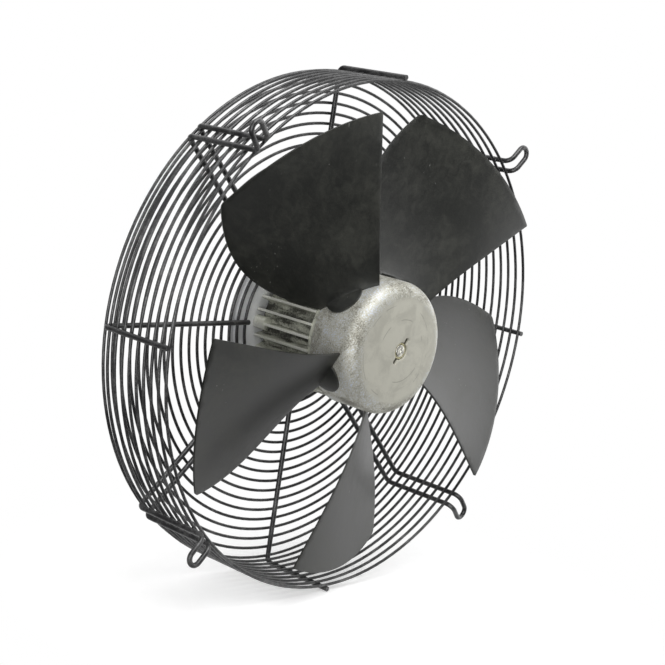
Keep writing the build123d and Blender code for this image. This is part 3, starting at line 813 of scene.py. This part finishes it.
def guard_lines():
    """Radii and places that the guard's wires share, read from the CAD boxes."""
    low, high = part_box("spoke_right")
    wire = high.z
    ring = (frame_high("guard_disc_rings", 1) - frame_low("guard_disc_rings", 1)) / 2
    return {
        "wire": wire,
        "ring": ring,
        "start": low.x,
        "bar": high.x - wire,
        "rear": high.y - wire,
        "front": low.y,
        "eye_y": frame_low("arm_upper_right", 1) + wire,
        "wall_radius": frame_high("guard_wall_rings", 0) - ring,
        "wall_first": frame_low("guard_wall_rings", 1) + ring,
        "wall_last": frame_high("guard_wall_rings", 1) - ring,
        "disc_last": frame_high("guard_disc_rings", 0) - ring,
        "disc_y": frame_low("guard_disc_rings", 1) + ring,
    }


def wire_curve(corners, bends):
    """A line of corners, each with the radius that its bend will have."""
    curve = bpy.data.curves.new("wire line", "CURVE")
    curve.dimensions = "3D"
    spline = curve.splines.new("POLY")
    spline.points.add(len(corners) - 1)
    for point, corner, bend in zip(spline.points, corners, bends):
        point.co = (*corner, 1.0)
        point.radius = bend
    return curve


class FAN_OT_guard_rings(bpy.types.Operator):
    """Make the guard's wall rings and disc rings"""

    bl_idname = "fan.guard_rings"
    bl_label = "Guard rings"

    def execute(self, context):
        size, at = sizes(), guard_lines()
        tree = ring_tree()
        common = {
            "Wire radius": at["ring"],
            "Wobble": size.ring_wobble,
            "Material": finish_of("guard_wire"),
        }
        wall = {
            "Count": size.wall_rings,
            "First radius": at["wall_radius"],
            "Radius step": 0.0,
            "First place": at["wall_first"],
            "Place step": (at["wall_last"] - at["wall_first"]) / (size.wall_rings - 1),
        }
        disc = {
            "Count": size.disc_rings,
            "First radius": FIRST_DISC_RING,
            "Radius step": (at["disc_last"] - FIRST_DISC_RING) / (size.disc_rings - 1),
            "First place": at["disc_y"],
            "Place step": 0.0,
        }
        for name, inputs in (("guard_wall_rings", wall), ("guard_disc_rings", disc)):
            mesh = grown(tree, point_cloud([]), {**common, **inputs})
            stand_in(f"{name}_wires", mesh, name)
        return {"FINISHED"}


class FAN_OT_guard_wires(bpy.types.Operator):
    """Bend the four spokes and the four arms with their eyelets"""

    bl_idname = "fan.guard_wires"
    bl_label = "Guard frame wires"

    def execute(self, context):
        at, bend, gap = guard_lines(), sizes().wire_bend, sizes().eye_gap
        tree = wire_tree()
        given = {"Wire radius": at["wire"], "Material": finish_of("guard_wire")}
        for name, turn in SPOKES.items():
            line = ((at["start"], at["rear"]), (at["bar"], at["rear"]), (at["bar"], at["front"]))
            corners = [place(radius, radians(turn), y) for radius, y in line]
            mesh = grown(tree, wire_curve(corners, (0, bend, 0)), given)
            stand_in(f"{name}_wire", mesh, name)
        for name, turn in ARMS.items():
            turn = radians(turn)
            eye_centre = (frame_high("arm_upper_right", 0) - gap - at["wire"]) / cos(radians(45))
            tip = eye_centre + gap
            lean = EYE_LEAN[name]
            across = Vector((-sin(turn), 0, cos(turn)))
            leg = (
                (at["start"], at["rear"], 0),
                (at["bar"], at["rear"], bend),
                (at["bar"], at["eye_y"], EYE_BEND),
                (tip, at["eye_y"] + lean, gap * 0.999),
            )
            first = [place(radius, turn, y) - across * gap for radius, y, _ in leg]
            second = [place(radius, turn, y) + across * gap for radius, y, _ in leg]
            bends = [row[2] for row in leg]
            curve = wire_curve(first + second[::-1], bends + bends[::-1])
            stand_in(f"{name}_wire", grown(tree, curve, given), name)
        return {"FINISHED"}


class FAN_OT_weld_beads(bpy.types.Operator):
    """Put a weld bead on every crossing of a ring and a frame wire"""

    bl_idname = "fan.weld_beads"
    bl_label = "Weld beads"

    def execute(self, context):
        size, at, gap = sizes(), guard_lines(), sizes().eye_gap
        wires = [(radians(turn), 0.0) for turn in SPOKES.values()]
        wires += [(radians(turn), side) for turn in ARMS.values() for side in (-gap, gap)]
        step = (at["wall_last"] - at["wall_first"]) / (size.wall_rings - 1)
        wall_y = [at["wall_first"] + i * step for i in range(size.wall_rings)]
        step = (at["disc_last"] - FIRST_DISC_RING) / (size.disc_rings - 1)
        disc_r = [FIRST_DISC_RING + i * step for i in range(size.disc_rings)]
        places = []
        for turn, side in wires:
            along = Vector((cos(turn), 0, sin(turn)))
            across = Vector((-sin(turn), 0, cos(turn))) * side
            touch = at["bar"] - at["wire"] + WELD_SINK / 2
            places += [along * touch + across + Vector((0, y, 0)) for y in wall_y]
            touch = Vector((0, at["rear"] + at["wire"] - WELD_SINK / 2, 0))
            places += [along * sqrt(r * r - side * side) + across + touch for r in disc_r]
        given = {"Bead": size.bead, "Material": finish_of("guard_wire")}
        mesh = grown(bead_tree(), point_cloud(places), given)
        add_piece("guard_weld_beads", mesh, BODY_OF["guard_disc_rings"], "guard_wire")
        return {"FINISHED"}


class FAN_OT_blades(bpy.types.Operator):
    """Round the edges of the five blades"""

    bl_idname = "fan.blades"
    bl_label = "Blades"

    def execute(self, context):
        finishes = (finish_of("blade_paint"), worn_edge())
        for name in sorted(node for node in BODY_OF if node.startswith("blade_")):
            stand_in(f"{name}_sheet", rounded_copy(name, finishes=finishes), name)
        return {"FINISHED"}


class FAN_OT_castings(bpy.types.Operator):
    """Round the edges of the rotor cup, the housing and the pressed plate"""

    bl_idname = "fan.castings"
    bl_label = "Castings and plate"

    def execute(self, context):
        for name in ("rotor_cup", "hub_bush", "shaft", "motor_plate"):
            stand_in(f"{name}_body", rounded_copy(name), name)
        housing = rounded_copy("motor_housing")
        housing.materials.append(fin_casting())
        stand_in("motor_housing_body", housing, "motor_housing")
        return {"FINISHED"}


class FAN_OT_hardware(bpy.types.Operator):
    """Round the edges of the screws, the rear cover and the cable gland"""

    bl_idname = "fan.hardware"
    bl_label = "Screws, cover and gland"

    def execute(self, context):
        for name in ("plate_screws", "cover_screws", "rear_cover", "gland_body", "gland_nut"):
            stand_in(f"{name}_body", rounded_copy(name), name)
        return {"FINISHED"}


class FAN_OT_inner_finishes(bpy.types.Operator):
    """Give every CAD node that still shows its own finish"""

    bl_idname = "fan.inner_finishes"
    bl_label = "Finishes of the inner parts"

    def execute(self, context):
        for name, node in frame["nodes"].items():
            for slot in node.material_slots:
                slot.material = finish_of(SLOT_OF[name])
        return {"FINISHED"}


def soft_light(name, spot, aim, width, height, watts):
    lamp = bpy.data.lights.new(name, "AREA")
    lamp.shape = "RECTANGLE"
    lamp.size, lamp.size_y = width, height
    lamp.energy = watts
    light = bpy.data.objects.new(name, lamp)
    light.location = spot
    light.rotation_euler = (Vector(aim) - Vector(spot)).to_track_quat("-Z", "Y").to_euler()
    light.visible_camera = False
    bpy.context.scene.collection.objects.link(light)


FLOOR_HALF = 8.0
FLOOR_FADE = (0.06, 0.34)
FLOOR_GLOW = 0.38


def paper_material():
    """White paper under the fan that fades into the white surroundings."""
    g = Shader("paper")
    fibre = g.noise(60 * MM, 3, 0.6)
    tint = tuple(bpy.context.scene.fan_studio.paper)
    darker = tuple(value * 0.985 for value in tint)
    matt = g.node("ShaderNodeBsdfDiffuse", {"Color": g.blend(fibre, tint, darker)})
    glow = g.node("ShaderNodeEmission", {"Color": (1, 1, 1, 1), "Strength": FLOOR_GLOW})
    paper = g.node("ShaderNodeAddShader", {0: matt, 1: glow})
    away = (g.x * g.x + g.y * g.y) ** 0.5
    fade = g.smooth(away, *FLOOR_FADE)
    clear = g.node("ShaderNodeBsdfTransparent")
    surface = g.node("ShaderNodeMixShader", {0: fade, 1: paper, 2: clear})
    g.node("ShaderNodeOutputMaterial", {"Surface": surface})
    return g.material


class FAN_OT_studio(bpy.types.Operator):
    """Set the floor, the soft lights, the plain surroundings and the camera"""

    bl_idname = "fan.studio"
    bl_label = "Studio"

    def execute(self, context):
        scene, studio = context.scene, context.scene.fan_studio
        floor_z = CAD_BOX[0][2]
        half = FLOOR_HALF
        mesh = bpy.data.meshes.new("floor")
        corners = [(-half, -half), (half, -half), (half, half), (-half, half)]
        mesh.from_pydata([(x, y, floor_z) for x, y in corners], [], [(0, 1, 2, 3)])
        mesh.materials.append(paper_material())
        floor = bpy.data.objects.new("floor", mesh)
        scene.collection.objects.link(floor)
        floor.visible_glossy = False

        soft_light("key", (-0.4, -0.8, 2.2), (0, 0, 0), 2.0, 2.0, 44)
        soft_light("side", (2.4, 0.0, 0.5), (0, 0, 0), 3.2, 2.4, 20)
        soft_light("fill", (-1.6, -1.0, 0.1), (0, 0, 0), 2.0, 1.6, 24)
        surroundings()

        # The camera looks past the guard's middle by the two aim angles, then rolls
        a, e = studio.azimuth, studio.elevation
        back = Vector((sin(a) * cos(e), -cos(a) * cos(e), sin(e)))
        right = (-back).cross(Vector((0, 0, 1))).normalized()
        up = right.cross(-back)
        sight = (-back + tan(studio.aim_across) * right + tan(studio.aim_up) * up).normalized()
        right = (right - sight * right.dot(sight)).normalized()
        up = right.cross(sight)
        turned_right = cos(studio.roll) * right + sin(studio.roll) * up
        turned_up = cos(studio.roll) * up - sin(studio.roll) * right
        camera = bpy.data.objects.new("camera", bpy.data.cameras.new("camera"))
        camera.data.lens = studio.lens
        camera.data.sensor_width = 36.0
        axes = Matrix((turned_right, turned_up, -sight)).transposed()
        middle = Vector((0, frame_low("spoke_right", 1), 0))
        camera.matrix_world = Matrix.Translation(middle + back * studio.distance) @ axes.to_4x4()
        scene.collection.objects.link(camera)
        scene.camera = camera
        scene.view_settings.view_transform = "Standard"
        return {"FINISHED"}


def surroundings():
    """A white room behind the fan and a dim one in front of it, white to the camera."""
    world = bpy.data.worlds.new("surroundings")
    world.use_nodes = True
    bpy.context.scene.world = world
    g = Graph(world.node_tree)
    g.tree.nodes.clear()
    way = g.node("ShaderNodeTexCoord", out="Generated")
    x, y, z = g.xyz(way)
    bright = g.smooth(x * 0.88 + y * 0.47, -0.20, 0.60)
    level = 0.05 + bright * 0.78 + g.smooth(z, 0.45, 1.0) * 0.30
    seen = g.node("ShaderNodeLightPath", out="Is Camera Ray")
    level = level * (1.0 - seen) + seen * 1.0
    light = g.node("ShaderNodeBackground", {"Color": (1, 1, 1, 1), "Strength": level})
    g.node("ShaderNodeOutputWorld", {"Surface": light})


class FAN_PT_panel(bpy.types.Panel):
    """Sizes, colours and makers of the fan"""

    bl_label = "Axial fan"
    bl_space_type = "VIEW_3D"
    bl_region_type = "UI"
    bl_category = "Fan"

    def draw(self, context):
        for group in (context.scene.fan_sizes, context.scene.fan_colours, context.scene.fan_studio):
            box = self.layout.box()
            for name in group.bl_rna.properties.keys():
                if name not in ("rna_type", "name"):
                    box.prop(group, name)
        for maker in MAKERS:
            self.layout.operator(maker.bl_idname)


MAKERS = (
    FAN_OT_guard_rings,
    FAN_OT_guard_wires,
    FAN_OT_weld_beads,
    FAN_OT_blades,
    FAN_OT_castings,
    FAN_OT_hardware,
    FAN_OT_inner_finishes,
    FAN_OT_studio,
)
CLASSES = (FanSizes, FanColours, FanStudio, *MAKERS, FAN_PT_panel)


def register():
    for cls in CLASSES:
        bpy.utils.register_class(cls)
    bpy.types.Scene.fan_sizes = PointerProperty(type=FanSizes)
    bpy.types.Scene.fan_colours = PointerProperty(type=FanColours)
    bpy.types.Scene.fan_studio = PointerProperty(type=FanStudio)


def unregister():
    for name in ("fan_sizes", "fan_colours", "fan_studio"):
        delattr(bpy.types.Scene, name)
    for cls in reversed(CLASSES):
        bpy.utils.unregister_class(cls)


def main():
    register()
    for maker in MAKERS:
        group, call = maker.bl_idname.split(".")
        getattr(getattr(bpy.ops, group), call)()


if __name__ == "__main__":
    main()
